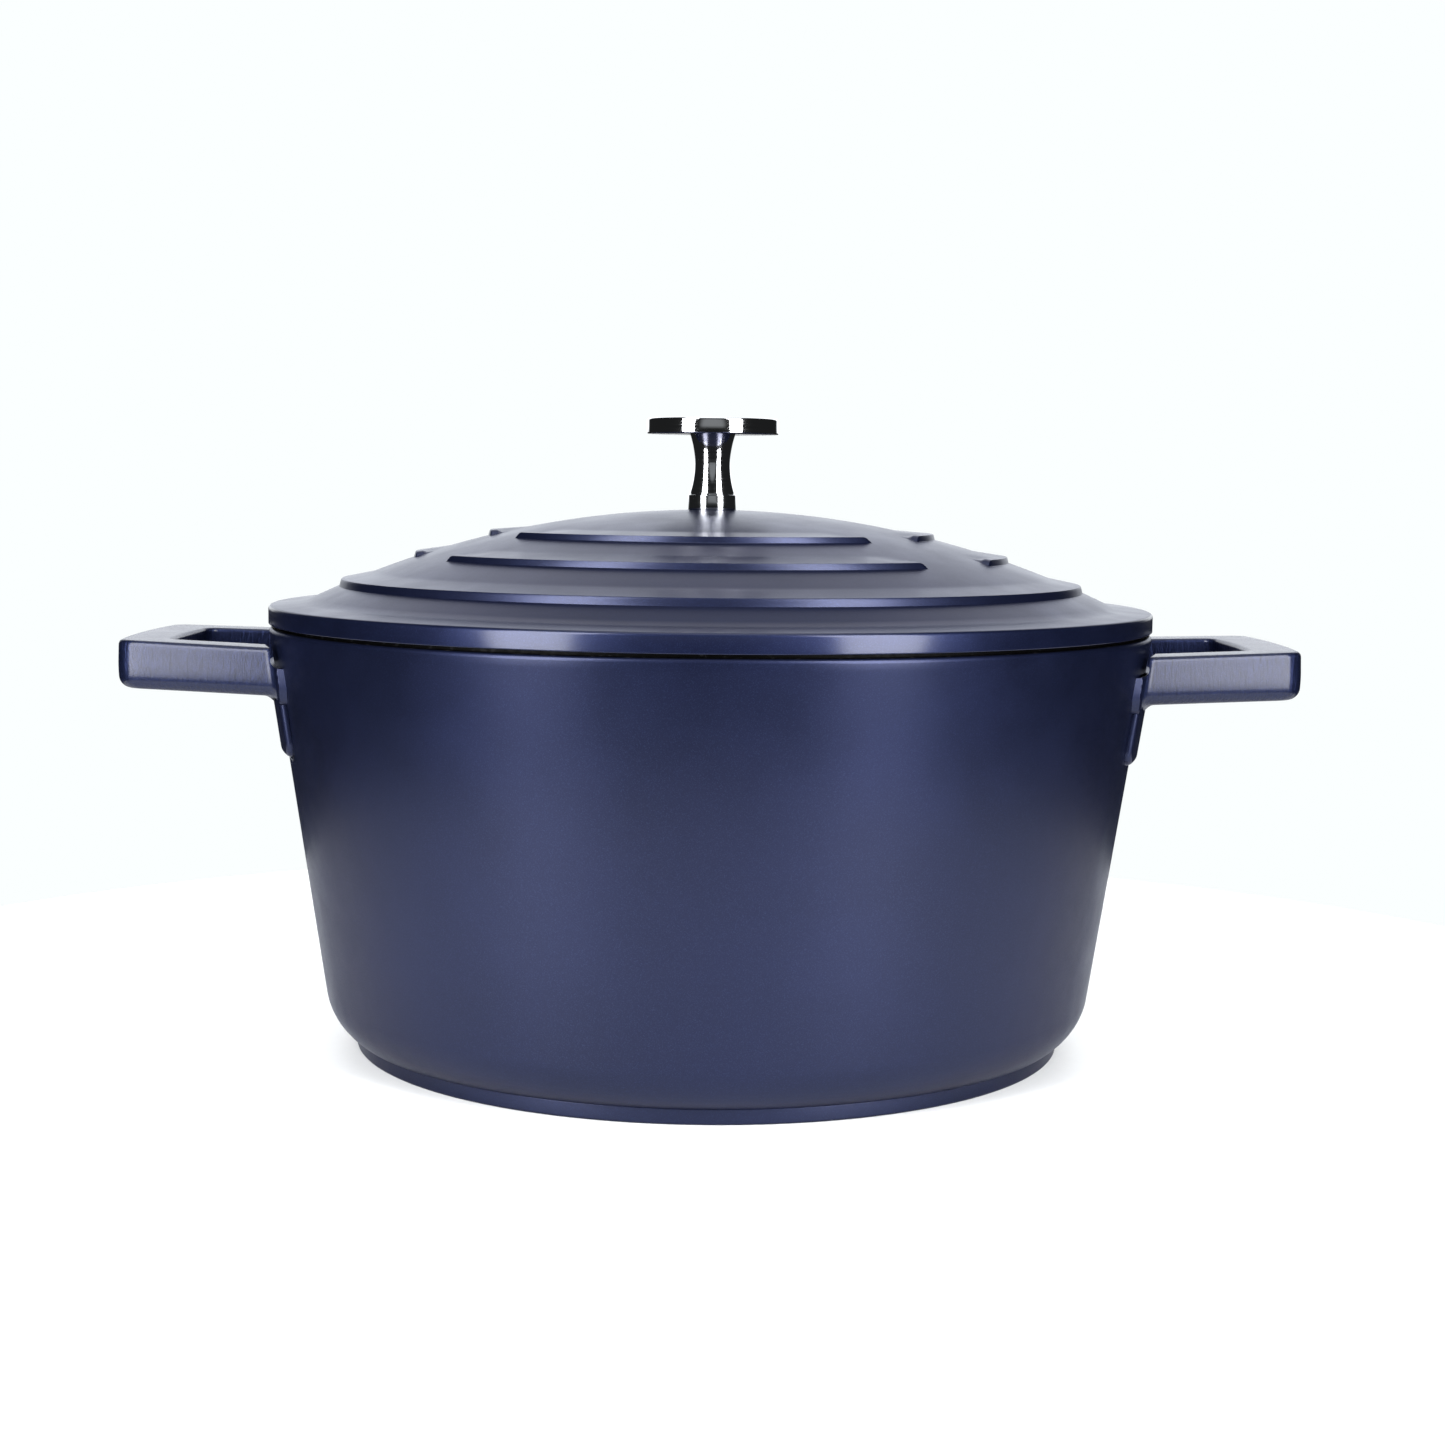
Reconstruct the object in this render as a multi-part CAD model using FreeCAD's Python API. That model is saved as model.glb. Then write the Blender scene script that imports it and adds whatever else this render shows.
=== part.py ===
"""A lidded round casserole: a cast pot with two loop handles, and a stepped domed lid with a turned knob.

Millimetres. +Z is up, the origin is the centre of the base, and the handles point along -X and +X.
"""

import FreeCAD, Part
import math
import os

os.makedirs("parts", exist_ok=True)
Vector = FreeCAD.Vector
UP = Vector(0, 0, 1)
ORIGIN = Vector(0, 0, 0)

# Pot wall: a cone that opens upwards, rounded at the bottom onto a low foot.
RIM_RADIUS = 146.0
RIM_HEIGHT = 139.0
WALL_SLOPE = 0.1498
WALL = 4.55
FLOOR = 5.6
CORNER_RADIUS = 19.6
CORNER_TOP = 18.4
INNER_CORNER_RADIUS = 17.0
FOOT_RADIUS = 118.0
FOOT_HEIGHT = 5.3
FOOT_ROUND = 0.8
RIM_ROUND = 1.3

# Perforated steel disc set flush into the base.
PLATE_RADIUS = 98.0
PLATE_THICKNESS = 0.8
PLATE_CLEARANCE = 0.1
PLATE_HOLE_RADIUS = 2.6
PLATE_HOLE_PITCH = 15.0
PLATE_RINGS = 6

# Loop handles, cast in one with the wall.
HANDLE_REACH = 192.2
HANDLE_BOW = 2.5
HANDLE_END_HALF_WIDTH = 42.0
HANDLE_ROOT_HALF_WIDTH = 50.6
HANDLE_ROOT_X = 133.0
HANDLE_CORNER = 7.0
HANDLE_THICKNESS = 15.6
HANDLE_ROOT_Z = 118.2
HANDLE_TILT = 1.8
HANDLE_TOP_ROUND = 1.5
HANDLE_LOWER_ROUND = 4.0
GAP_REACH = 176.6
GAP_END_HALF_WIDTH = 29.0
GAP_ROOT_HALF_WIDTH = 35.5
GAP_CORNER = 5.0

# Thickened patch of wall under each handle, and the turned groove above it.
PAD_PROUD = 2.1
PAD_HALF_WIDTH = 48.0
PAD_BOTTOM = 98.5
PAD_TOP = 127.3
PAD_CORNER = 4.0
PAD_EDGE_ROUND = 1.9
PAD_SINK = 2.0
GROOVE_RADIUS = 147.4

# Lid: a shallow spherical dome with a flat rim flange and a band round its edge.
DOME_RADIUS = 306.0
DOME_TOP = 178.0
LID_WALL = 4.0
DOME_FOOT_RADIUS = 133.4
BAND_TOP = 146.0
BAND_BOTTOM = 140.1
BAND_ROUND = 1.3
BAND_LOWER_ROUND = 0.3
SEAT_OUTER = 142.4
LOCATOR_OUTER = 140.3
LOCATOR_INNER = 136.6
LOCATOR_BOTTOM = 134.0
LOCATOR_ROUND = 1.0
HUB_RADIUS = 9.0
INNER_HUB_RADIUS = 10.0

# Raised steps on the lid: (inner radius, crest radius, crest height, foot radius).
UPPER_STEP = (61.0, 73.0, 171.0, 75.4)
MIDDLE_STEP = (87.0, 97.3, 163.9, 100.0)
LOWER_STEP = (112.0, 122.0, 154.8, 123.8)
STEP_ROUND = 0.7
STEP_DEPTH = 3.0
GAP_COUNT = 3
GAP_FIRST_ANGLE = 52.5
GAP_CREST_ANGLE = 23.0
GAP_BELOW_CREST = 6.0
GAP_ABOVE_CREST = 3.0

# Drip bumps under the lid: (ring radius, how many).
DRIP_RINGS = ((40.0, 8), (68.0, 14), (96.0, 20), (120.0, 26))
DRIP_RADIUS = 4.0
DRIP_PROUD = 1.6
DRIP_SINK = 1.0

# Knob: a round cap on a waisted stem and a collar, held by one screw from below.
CAP_RADIUS = 21.9
CAP_BOTTOM = 203.0
CAP_TOP = 208.2
CAP_ROUND = 0.8
STEM_BOTTOM = 183.5
STEM_END_RADIUS = 7.55
STEM_WAIST_RADIUS = 5.95
COLLAR_RADIUS = 8.0
COLLAR_NECK_RADIUS = 7.3
COLLAR_NECK = 0.5
COLLAR_ROUND = 0.3

SCREW_RADIUS = 2.45
THREADED_HOLE_RADIUS = 2.5
CLEARANCE_HOLE_RADIUS = 2.75
SCREW_TIP = 206.4
SCREW_POINT = 0.8
THREADED_HOLE_TOP = 206.8
SCREW_HEAD_RADIUS = 4.75
SCREW_HEAD_HEIGHT = 3.6
SCREW_HEAD_ROUND = 2.2
RECESS_LENGTH = 5.0
RECESS_WIDTH = 1.1
RECESS_DEPTH = 2.0
FLAT_WASHER_RADIUS = 7.5
FLAT_WASHER_THICKNESS = 1.2
LOCK_WASHER_RADIUS = 4.6
LOCK_WASHER_THICKNESS = 1.3
LOCK_WASHER_SPLIT = 1.0
LOCK_WASHER_LEAN = 30.0

# How far a cutting shape runs past the faces it cuts.
OVERRUN = 5.0


def wall_radius(z):
    """Outer radius of the pot's wall at a height."""
    return RIM_RADIUS - WALL_SLOPE * (RIM_HEIGHT - z)


def dome_height(r, depth=0.0):
    """Height of the lid's dome at a radius, or of the surface that lies a depth below it."""
    return DOME_TOP - DOME_RADIUS + math.sqrt((DOME_RADIUS - depth) ** 2 - r * r)


def at(r, z):
    return Vector(r, 0, z)


# Faces under the lid, from the lid down to the screw's head.
FLAT_WASHER_TOP = dome_height(INNER_HUB_RADIUS, LID_WALL)
LOCK_WASHER_TOP = FLAT_WASHER_TOP - FLAT_WASHER_THICKNESS
SCREW_HEAD_TOP = LOCK_WASHER_TOP - LOCK_WASHER_THICKNESS


def corner_arc(before, corner, after, radius):
    """The arc that rounds a corner between two straight runs, as (start, middle, end)."""
    to_before = (before - corner).normalize()
    to_after = (after - corner).normalize()
    half = to_before.getAngle(to_after) / 2
    start = corner + to_before * (radius / math.tan(half))
    end = corner + to_after * (radius / math.tan(half))
    bisector = (to_before + to_after).normalize()
    middle = corner + bisector * (radius / math.sin(half) - radius)
    return start, middle, end


def section(points):
    """A closed face from points (r, z), (r, z, corner radius) or ("via", r, z), which an arc passes."""
    count = len(points)
    edges = []
    place = None
    via = None
    first = None
    for i in range(count + 1):
        point = points[i % count]
        if point[0] == "via":
            via = at(point[1], point[2])
            continue
        corner = at(point[0], point[1])
        arc = None
        if len(point) == 3:
            before = points[(i - 1) % count]
            after = points[(i + 1) % count]
            arc = corner_arc(at(before[0], before[1]), corner, at(after[0], after[1]), point[2])
        start = arc[0] if arc else corner
        if place is not None and via is not None:
            edges.append(Part.Arc(place, via, start).toShape())
        elif place is not None and place.distanceToPoint(start) > 1e-6:
            edges.append(Part.makeLine(place, start))
        via = None
        if i == count:
            break
        if arc:
            edges.append(Part.Arc(*arc).toShape())
        place = arc[2] if arc else corner
        first = first or place
    return Part.Face(Part.Wire(edges))


def turned(points):
    """A solid of revolution about Z from a section in the XZ plane."""
    return section(points).revolve(ORIGIN, UP, 360)


def tube(outer, inner, bottom, top):
    """A plain ring."""
    height = top - bottom
    ring = Part.makeCylinder(outer, height, at(0, bottom))
    return ring.cut(Part.makeCylinder(inner, height, at(0, bottom)))


def turn_about_z(shape, degrees):
    copy = shape.copy()
    copy.rotate(ORIGIN, UP, degrees)
    return copy


def pot_outside():
    """The filled outer form of the pot, without handles."""
    slope = math.atan(WALL_SLOPE)
    centre_r = wall_radius(CORNER_TOP) - CORNER_RADIUS * math.cos(slope)
    centre_z = CORNER_TOP + CORNER_RADIUS * math.sin(slope)
    crease_r = centre_r + math.sqrt(CORNER_RADIUS**2 - (centre_z - FOOT_HEIGHT) ** 2)
    middle = (-slope + math.atan2(FOOT_HEIGHT - centre_z, crease_r - centre_r)) / 2
    return turned([
        (0, 0),
        (FOOT_RADIUS, 0, FOOT_ROUND),
        (FOOT_RADIUS, FOOT_HEIGHT),
        (crease_r, FOOT_HEIGHT),
        ("via", centre_r + CORNER_RADIUS * math.cos(middle), centre_z + CORNER_RADIUS * math.sin(middle)),
        (wall_radius(CORNER_TOP), CORNER_TOP),
        (RIM_RADIUS, RIM_HEIGHT, RIM_ROUND),
        (0, RIM_HEIGHT),
    ])


def pot_cavity():
    """The hollow of the pot, run up past the rim."""
    above = RIM_HEIGHT + OVERRUN
    return turned([
        (0, FLOOR),
        (wall_radius(FLOOR) - WALL, FLOOR, INNER_CORNER_RADIUS),
        (wall_radius(above) - WALL, above),
        (0, above),
    ])


def prism(outline, corner_radius, thickness):
    """An outline in plan, extruded upwards, with its two outer upright corners rounded."""
    solid = Part.Face(Part.Wire(outline)).extrude(Vector(0, 0, thickness))
    middle_x = solid.BoundBox.Center.x
    upright = [e for e in solid.Edges if e.BoundBox.ZLength > thickness / 2 and e.BoundBox.XMin > middle_x]
    return solid.makeFillet(corner_radius, upright)


def trapezium(root_x, end_x, root_half, end_half, bow):
    """Plan outline that narrows outwards and ends in a shallow bow."""
    near_right = Vector(root_x, -root_half, 0)
    far_right = Vector(end_x - bow, -end_half, 0)
    far_left = Vector(end_x - bow, end_half, 0)
    near_left = Vector(root_x, root_half, 0)
    return [
        Part.makeLine(near_right, far_right),
        Part.Arc(far_right, Vector(end_x, 0, 0), far_left).toShape(),
        Part.makeLine(far_left, near_left),
        Part.makeLine(near_left, near_right),
    ]


def flat_edges(solid, height):
    """The edges of a solid that lie at a height, apart from those at its root."""
    return [e for e in solid.Edges
            if abs(e.BoundBox.ZMin - height) < 1e-6 and abs(e.BoundBox.ZMax - height) < 1e-6
            and e.BoundBox.XMax > HANDLE_ROOT_X + OVERRUN]


def handle():
    """One loop handle on the +X side, rising slightly outwards, whose two arms end inside the wall."""
    outer = prism(
        trapezium(HANDLE_ROOT_X, HANDLE_REACH, HANDLE_ROOT_HALF_WIDTH, HANDLE_END_HALF_WIDTH, HANDLE_BOW),
        HANDLE_CORNER, HANDLE_THICKNESS)
    outer = outer.makeFillet(HANDLE_LOWER_ROUND, flat_edges(outer, 0))
    gap = prism(
        trapezium(HANDLE_ROOT_X - OVERRUN, GAP_REACH, GAP_ROOT_HALF_WIDTH, GAP_END_HALF_WIDTH, HANDLE_BOW / 2),
        GAP_CORNER, HANDLE_THICKNESS)
    loop = outer.cut(gap)
    loop = loop.makeFillet(HANDLE_TOP_ROUND, flat_edges(loop, HANDLE_THICKNESS))
    loop.translate(at(0, HANDLE_ROOT_Z))
    loop.rotate(at(wall_radius(HANDLE_ROOT_Z), HANDLE_ROOT_Z), Vector(0, 1, 0), -HANDLE_TILT)
    return loop


def pad():
    """The thickened patch of wall under the handle on the +X side."""
    low, high = wall_radius(PAD_BOTTOM), wall_radius(PAD_TOP)
    ring = turned([
        (low - PAD_SINK, PAD_BOTTOM),
        (low + PAD_PROUD, PAD_BOTTOM, PAD_EDGE_ROUND),
        (high + PAD_PROUD, PAD_TOP),
        (high - PAD_SINK, PAD_TOP),
    ])
    patch = Part.makeBox(RIM_RADIUS, 2 * PAD_HALF_WIDTH, RIM_HEIGHT - PAD_BOTTOM,
                         Vector(RIM_RADIUS / 2, -PAD_HALF_WIDTH, PAD_BOTTOM))
    lower_corners = [e for e in patch.Edges
                     if e.BoundBox.ZMax < PAD_BOTTOM + PAD_CORNER and e.BoundBox.XLength > PAD_CORNER]
    return ring.common(patch.makeFillet(PAD_CORNER, lower_corners))


def pot_body():
    groove = tube(GROOVE_RADIUS, HANDLE_ROOT_X - OVERRUN, PAD_TOP, RIM_HEIGHT + OVERRUN)
    one_side = handle().cut(groove).fuse(pad())
    other_side = turn_about_z(one_side, 180)
    pocket = Part.makeCylinder(PLATE_RADIUS + PLATE_CLEARANCE, PLATE_THICKNESS)
    pot = pot_outside().fuse([one_side, other_side])
    return pot.cut([pot_cavity(), pocket]).removeSplitter()


def induction_plate():
    """Thin disc with rings of round holes."""
    holes = []
    for ring in range(1, PLATE_RINGS + 1):
        for i in range(6 * ring):
            hole = Part.makeCylinder(PLATE_HOLE_RADIUS, PLATE_THICKNESS, at(ring * PLATE_HOLE_PITCH, 0))
            holes.append(turn_about_z(hole, 60.0 * i / ring))
    return Part.makeCylinder(PLATE_RADIUS, PLATE_THICKNESS).cut(holes)


def step_ring(inner, crest, crest_height, foot):
    """One raised step, let into the dome."""
    return turned([
        (inner, dome_height(inner)),
        (crest, crest_height, STEP_ROUND),
        (foot, dome_height(foot)),
        (foot, dome_height(foot) - STEP_DEPTH),
        (inner, dome_height(inner) - STEP_DEPTH),
    ])


def step_gap(inner, crest, crest_height, foot):
    """A wedge that clears a step away over one gap, with sides sloped at 45 degrees."""
    low, high = crest_height - GAP_BELOW_CREST, crest_height + GAP_ABOVE_CREST
    spread = math.tan(math.radians(GAP_CREST_ANGLE / 2))
    ends = []
    for r in (inner - OVERRUN, foot + OVERRUN):
        bottom = spread * r - GAP_BELOW_CREST
        top = spread * r + GAP_ABOVE_CREST
        ends.append(Part.makePolygon([
            Vector(r, -bottom, low),
            Vector(r, bottom, low),
            Vector(r, top, high),
            Vector(r, -top, high),
            Vector(r, -bottom, low),
        ]))
    return Part.makeLoft(ends, True, True)


def interrupted_step(step):
    ring = step_ring(*step)
    wedge = step_gap(*step)
    wedges = [turn_about_z(wedge, GAP_FIRST_ANGLE - 90 + 360.0 * i / GAP_COUNT) for i in range(GAP_COUNT)]
    return ring.cut(wedges)


def lid_shell():
    """The dome, its rim band, the seat that rests on the pot and the flange that centres it."""
    inner_foot = dome_height(LOCATOR_INNER, LID_WALL)
    middle = DOME_FOOT_RADIUS / 2
    return turned([
        (CLEARANCE_HOLE_RADIUS, dome_height(HUB_RADIUS)),
        (HUB_RADIUS, dome_height(HUB_RADIUS)),
        ("via", middle, dome_height(middle)),
        (DOME_FOOT_RADIUS, dome_height(DOME_FOOT_RADIUS)),
        (RIM_RADIUS, BAND_TOP, BAND_ROUND),
        (RIM_RADIUS, BAND_BOTTOM, BAND_LOWER_ROUND),
        (SEAT_OUTER, BAND_BOTTOM),
        (SEAT_OUTER, RIM_HEIGHT),
        (LOCATOR_OUTER, RIM_HEIGHT),
        (LOCATOR_OUTER, LOCATOR_BOTTOM, LOCATOR_ROUND),
        (LOCATOR_INNER, LOCATOR_BOTTOM, LOCATOR_ROUND),
        (LOCATOR_INNER, inner_foot),
        ("via", middle, dome_height(middle, LID_WALL)),
        (INNER_HUB_RADIUS, dome_height(INNER_HUB_RADIUS, LID_WALL)),
        (CLEARANCE_HOLE_RADIUS, dome_height(INNER_HUB_RADIUS, LID_WALL)),
    ])


def drip_bumps():
    """Round bumps on the underside, where condensed drops gather."""
    side = 4 * DRIP_RADIUS
    bumps = []
    for ring, count in DRIP_RINGS:
        under = dome_height(ring, LID_WALL)
        bump = Part.makeSphere(DRIP_RADIUS, at(ring, under + DRIP_RADIUS - DRIP_PROUD))
        upper = Part.makeBox(side, side, side, Vector(ring - side / 2, -side / 2, under + DRIP_SINK))
        bump = bump.cut(upper)
        bumps += [turn_about_z(bump, 360.0 * i / count) for i in range(count)]
    return bumps


def lid():
    steps = [interrupted_step(UPPER_STEP), interrupted_step(MIDDLE_STEP), step_ring(*LOWER_STEP)]
    return lid_shell().fuse(steps + drip_bumps()).removeSplitter()


def knob_cap():
    """Flat disc with a blind threaded hole in its underside."""
    return turned([
        (THREADED_HOLE_RADIUS, CAP_BOTTOM),
        (CAP_RADIUS, CAP_BOTTOM, CAP_ROUND / 2),
        (CAP_RADIUS, CAP_TOP, CAP_ROUND),
        (0, CAP_TOP),
        (0, THREADED_HOLE_TOP),
        (THREADED_HOLE_RADIUS, THREADED_HOLE_TOP),
    ])


def knob_stem():
    """Hollow waisted spacer."""
    return turned([
        (CLEARANCE_HOLE_RADIUS, STEM_BOTTOM),
        (STEM_END_RADIUS, STEM_BOTTOM),
        ("via", STEM_WAIST_RADIUS, (STEM_BOTTOM + CAP_BOTTOM) / 2),
        (STEM_END_RADIUS, CAP_BOTTOM),
        (CLEARANCE_HOLE_RADIUS, CAP_BOTTOM),
    ])


def knob_collar():
    """Short round foot of the knob, with a narrower neck at its top."""
    return turned([
        (CLEARANCE_HOLE_RADIUS, dome_height(HUB_RADIUS)),
        (COLLAR_RADIUS, dome_height(HUB_RADIUS)),
        (COLLAR_RADIUS, STEM_BOTTOM - COLLAR_NECK, COLLAR_ROUND),
        (COLLAR_NECK_RADIUS, STEM_BOTTOM - COLLAR_NECK),
        (COLLAR_NECK_RADIUS, STEM_BOTTOM),
        (CLEARANCE_HOLE_RADIUS, STEM_BOTTOM),
    ])


def flat_washer():
    return tube(FLAT_WASHER_RADIUS, CLEARANCE_HOLE_RADIUS, LOCK_WASHER_TOP, FLAT_WASHER_TOP)


def lock_washer():
    """Spring ring with one slanted split."""
    ring = tube(LOCK_WASHER_RADIUS, CLEARANCE_HOLE_RADIUS, SCREW_HEAD_TOP, LOCK_WASHER_TOP)
    side = 2 * LOCK_WASHER_RADIUS
    split = Part.makeBox(side, LOCK_WASHER_SPLIT, side,
                         Vector(0, -LOCK_WASHER_SPLIT / 2, SCREW_HEAD_TOP - side / 2))
    split.rotate(at(0, (SCREW_HEAD_TOP + LOCK_WASHER_TOP) / 2), Vector(1, 0, 0), LOCK_WASHER_LEAN)
    return ring.cut(split)


def knob_screw():
    """Pan-head machine screw with a cross recess, head down."""
    head_bottom = SCREW_HEAD_TOP - SCREW_HEAD_HEIGHT
    screw = turned([
        (0, head_bottom),
        (SCREW_HEAD_RADIUS, head_bottom, SCREW_HEAD_ROUND),
        (SCREW_HEAD_RADIUS, SCREW_HEAD_TOP),
        (SCREW_RADIUS, SCREW_HEAD_TOP),
        (SCREW_RADIUS, SCREW_TIP - SCREW_POINT),
        (SCREW_RADIUS - SCREW_POINT, SCREW_TIP),
        (0, SCREW_TIP),
    ])
    slot = Part.makeBox(RECESS_LENGTH, RECESS_WIDTH, RECESS_DEPTH,
                        Vector(-RECESS_LENGTH / 2, -RECESS_WIDTH / 2, head_bottom))
    return screw.cut([slot, turn_about_z(slot, 90)])


NODES = {
    "pot_body": pot_body,
    "induction_plate": induction_plate,
    "lid": lid,
    "knob_cap": knob_cap,
    "knob_stem": knob_stem,
    "knob_collar": knob_collar,
    "knob_screw": knob_screw,
    "lock_washer": lock_washer,
    "flat_washer": flat_washer,
}

for name, build in NODES.items():
    shape = build()
    solids = shape.Solids
    box = shape.BoundBox
    print(f"{name}: {len(solids)} solid, valid {shape.isValid()}, {shape.Volume / 1000:.2f} cm3, "
          f"x {box.XMin:.2f}..{box.XMax:.2f}, y {box.YMin:.2f}..{box.YMax:.2f}, z {box.ZMin:.2f}..{box.ZMax:.2f}")
    shape.exportStep(f"parts/{name}.step")
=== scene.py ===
"""Looks of a lidded casserole: a navy cast pot with loop handles, a stepped lid and a turned steel knob.

Metres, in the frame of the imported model: +Z up, origin at the centre of the base, handles on -X and +X.
"""

import math

import bmesh
import bpy
from mathutils import Matrix, Vector


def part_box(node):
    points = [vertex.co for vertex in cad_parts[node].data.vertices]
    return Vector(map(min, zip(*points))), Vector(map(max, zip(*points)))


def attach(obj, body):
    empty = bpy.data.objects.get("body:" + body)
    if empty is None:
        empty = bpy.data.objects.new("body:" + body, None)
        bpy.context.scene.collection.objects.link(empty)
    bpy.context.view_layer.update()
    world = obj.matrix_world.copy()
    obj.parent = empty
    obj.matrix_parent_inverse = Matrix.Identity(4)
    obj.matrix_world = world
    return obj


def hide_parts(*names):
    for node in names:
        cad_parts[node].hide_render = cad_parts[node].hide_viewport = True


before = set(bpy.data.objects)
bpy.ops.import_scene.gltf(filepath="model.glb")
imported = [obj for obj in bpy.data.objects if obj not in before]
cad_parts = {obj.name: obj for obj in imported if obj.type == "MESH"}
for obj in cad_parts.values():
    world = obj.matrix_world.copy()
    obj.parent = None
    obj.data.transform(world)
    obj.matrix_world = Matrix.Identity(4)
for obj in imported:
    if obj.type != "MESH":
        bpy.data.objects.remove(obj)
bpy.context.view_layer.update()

MM = 0.001
TAU = 2 * math.pi

# ---------------------------------------------------------------- sizes from the frame
pot_low, pot_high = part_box("pot_body")
plate_low, plate_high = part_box("induction_plate")
lid_low, lid_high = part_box("lid")
cap_low, cap_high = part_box("knob_cap")
stem_low, stem_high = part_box("knob_stem")
collar_low, collar_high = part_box("knob_collar")
screw_low, screw_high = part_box("knob_screw")
lock_low, lock_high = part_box("lock_washer")
flat_low, flat_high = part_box("flat_washer")

RIM_RADIUS = lid_high.x
RIM_HEIGHT = pot_high.z

# ---------------------------------------------------------------- sizes of the pot
WALL_SLOPE = 0.1498
WALL = 4.55 * MM
FLOOR = 5.6 * MM
CORNER_RADIUS = 19.6 * MM
CORNER_TOP = 18.4 * MM
INNER_CORNER_RADIUS = 17.0 * MM
FOOT_RADIUS = 118.0 * MM
FOOT_HEIGHT = 5.3 * MM
CREASE_DEPTH = 0.35 * MM
RIM_ROUND = 1.3 * MM
PLATE_CLEARANCE = 0.1 * MM

HANDLE_REACH = pot_high.x
HANDLE_BOW = 2.5 * MM
HANDLE_END_HALF_WIDTH = 42.0 * MM
HANDLE_ROOT_HALF_WIDTH = 50.6 * MM
HANDLE_ROOT_X = 133.0 * MM
HANDLE_CORNER = 7.0 * MM
HANDLE_THICKNESS = 15.6 * MM
HANDLE_ROOT_Z = 118.2 * MM
HANDLE_TILT = math.radians(1.8)
GAP_REACH = 176.6 * MM
GAP_END_HALF_WIDTH = 29.0 * MM
GAP_ROOT_HALF_WIDTH = 35.5 * MM
GAP_CORNER = 5.0 * MM
ROOT_FILLET = 3.2 * MM
CROWN_HEIGHT = 9.0 * MM
CROWN_DEPTH = 0.9 * MM

PAD_PROUD = 2.1 * MM
PAD_HALF_WIDTH = 48.0 * MM
PAD_BOTTOM = 98.5 * MM
PAD_TOP = 127.3 * MM
GROOVE_RADIUS = 147.4 * MM

# ---------------------------------------------------------------- sizes of the lid
DOME_RADIUS = 306.0 * MM
DOME_TOP = 178.0 * MM
LID_WALL = 4.0 * MM
DOME_FOOT_RADIUS = 133.4 * MM
BAND_TOP = 146.0 * MM
BAND_BOTTOM = 140.1 * MM
BAND_ROUND = 1.3 * MM
SEAT_OUTER = 142.4 * MM
LOCATOR_OUTER = 140.3 * MM
LOCATOR_INNER = 136.6 * MM
HUB_RADIUS = 9.0 * MM
INNER_HUB_RADIUS = 10.0 * MM
CLEARANCE_HOLE_RADIUS = 2.75 * MM

# (inner radius, crest radius, crest height, foot radius, whether three gaps interrupt it)
STEPS = (
    (61.0 * MM, 73.0 * MM, 171.0 * MM, 75.4 * MM, True),
    (87.0 * MM, 97.3 * MM, 163.9 * MM, 100.0 * MM, True),
    (112.0 * MM, 122.0 * MM, 154.8 * MM, 123.8 * MM, False),
)
STEP_BLEND = 0.7 * MM
END_BLEND = 2.0 * MM
HOLLOW_BLEND = 0.2 * MM
RISER_SLOPE = 4.0
END_FADE = 14.0 * MM
NOSE_FADE = 3.0 * MM
NOSE_FADE_START = 1 / 3
GAP_COUNT = 3
GAP_FIRST_ANGLE = math.radians(52.5 - 90)
GAP_HALF_ANGLE = math.radians(11.5)

DRIP_RINGS = ((40.0 * MM, 8), (68.0 * MM, 14), (96.0 * MM, 20), (120.0 * MM, 26))
DRIP_RADIUS = 4.0 * MM
DRIP_PROUD = 1.6 * MM


# ---------------------------------------------------------------- lighting
BACKDROP_LIGHT = 2.25
BACKDROP_SPREAD = (0.83, 0.93)
BACKDROP_TOP = (0.55, 0.95)
OVERHEAD_LIGHT = 2.1
OVERHEAD_REACH = (0.84, 0.95)
FRONT_LIGHT = 0.30
AMBIENT_LIGHT = 0.02
SOFTBOX_POWER = 57.0


def wall_radius(z):
    """Outer radius of the pot's wall at a height."""
    return RIM_RADIUS - WALL_SLOPE * (RIM_HEIGHT - z)


def dome_height(r, depth=0.0):
    """Height of the lid's dome at a radius, or of the surface a depth below it."""
    return DOME_TOP - DOME_RADIUS + math.sqrt((DOME_RADIUS - depth) ** 2 - r * r)


# ---------------------------------------------------------------- mesh tools
def evenly(start, end, count):
    """Numbers from start to end, both included."""
    return [start + (end - start) * i / (count - 1) for i in range(count)]


def rounded(points, steps=6):
    """A line of points (r, z), where a third number rounds that corner with an arc of that radius."""
    line = []
    for i, point in enumerate(points):
        corner = Vector(point[:2])
        if len(point) == 2:
            line.append(tuple(corner))
            continue
        to_before = (Vector(points[i - 1][:2]) - corner).normalized()
        to_after = (Vector(points[(i + 1) % len(points)][:2]) - corner).normalized()
        half = to_before.angle(to_after) / 2
        bisector = (to_before + to_after).normalized()
        centre = corner + bisector * (point[2] / math.sin(half))
        start = corner + to_before * (point[2] / math.tan(half)) - centre
        end = corner + to_after * (point[2] / math.tan(half)) - centre
        turn = start.angle_signed(end)
        for k in range(steps + 1):
            arm = start.copy()
            arm.rotate(Matrix.Rotation(-turn * k / steps, 2))
            line.append(tuple(centre + arm))
    return line


def spin(rows, angles, closed):
    """Points and faces of rows of points turned about Z. A row is a list of (r, z), one for each angle, or one (0, z)."""
    points, rings = [], []
    for row in rows:
        first = len(points)
        if len(row) == 1:
            points.append((0, 0, row[0][1]))
        else:
            points += [(r * math.cos(a), r * math.sin(a), z) for (r, z), a in zip(row, angles)]
        rings.append(range(first, len(points)))
    faces = []
    count = len(angles)
    pairs = list(zip(rings, rings[1:])) + ([(rings[-1], rings[0])] if closed else [])
    for low, high in pairs:
        for i in range(count):
            j = (i + 1) % count
            if len(low) == 1:
                faces.append((low[0], high[i], high[j]))
            elif len(high) == 1:
                faces.append((low[i], high[0], low[j]))
            else:
                faces.append((low[i], high[i], high[j], low[j]))
    return points, faces


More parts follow.
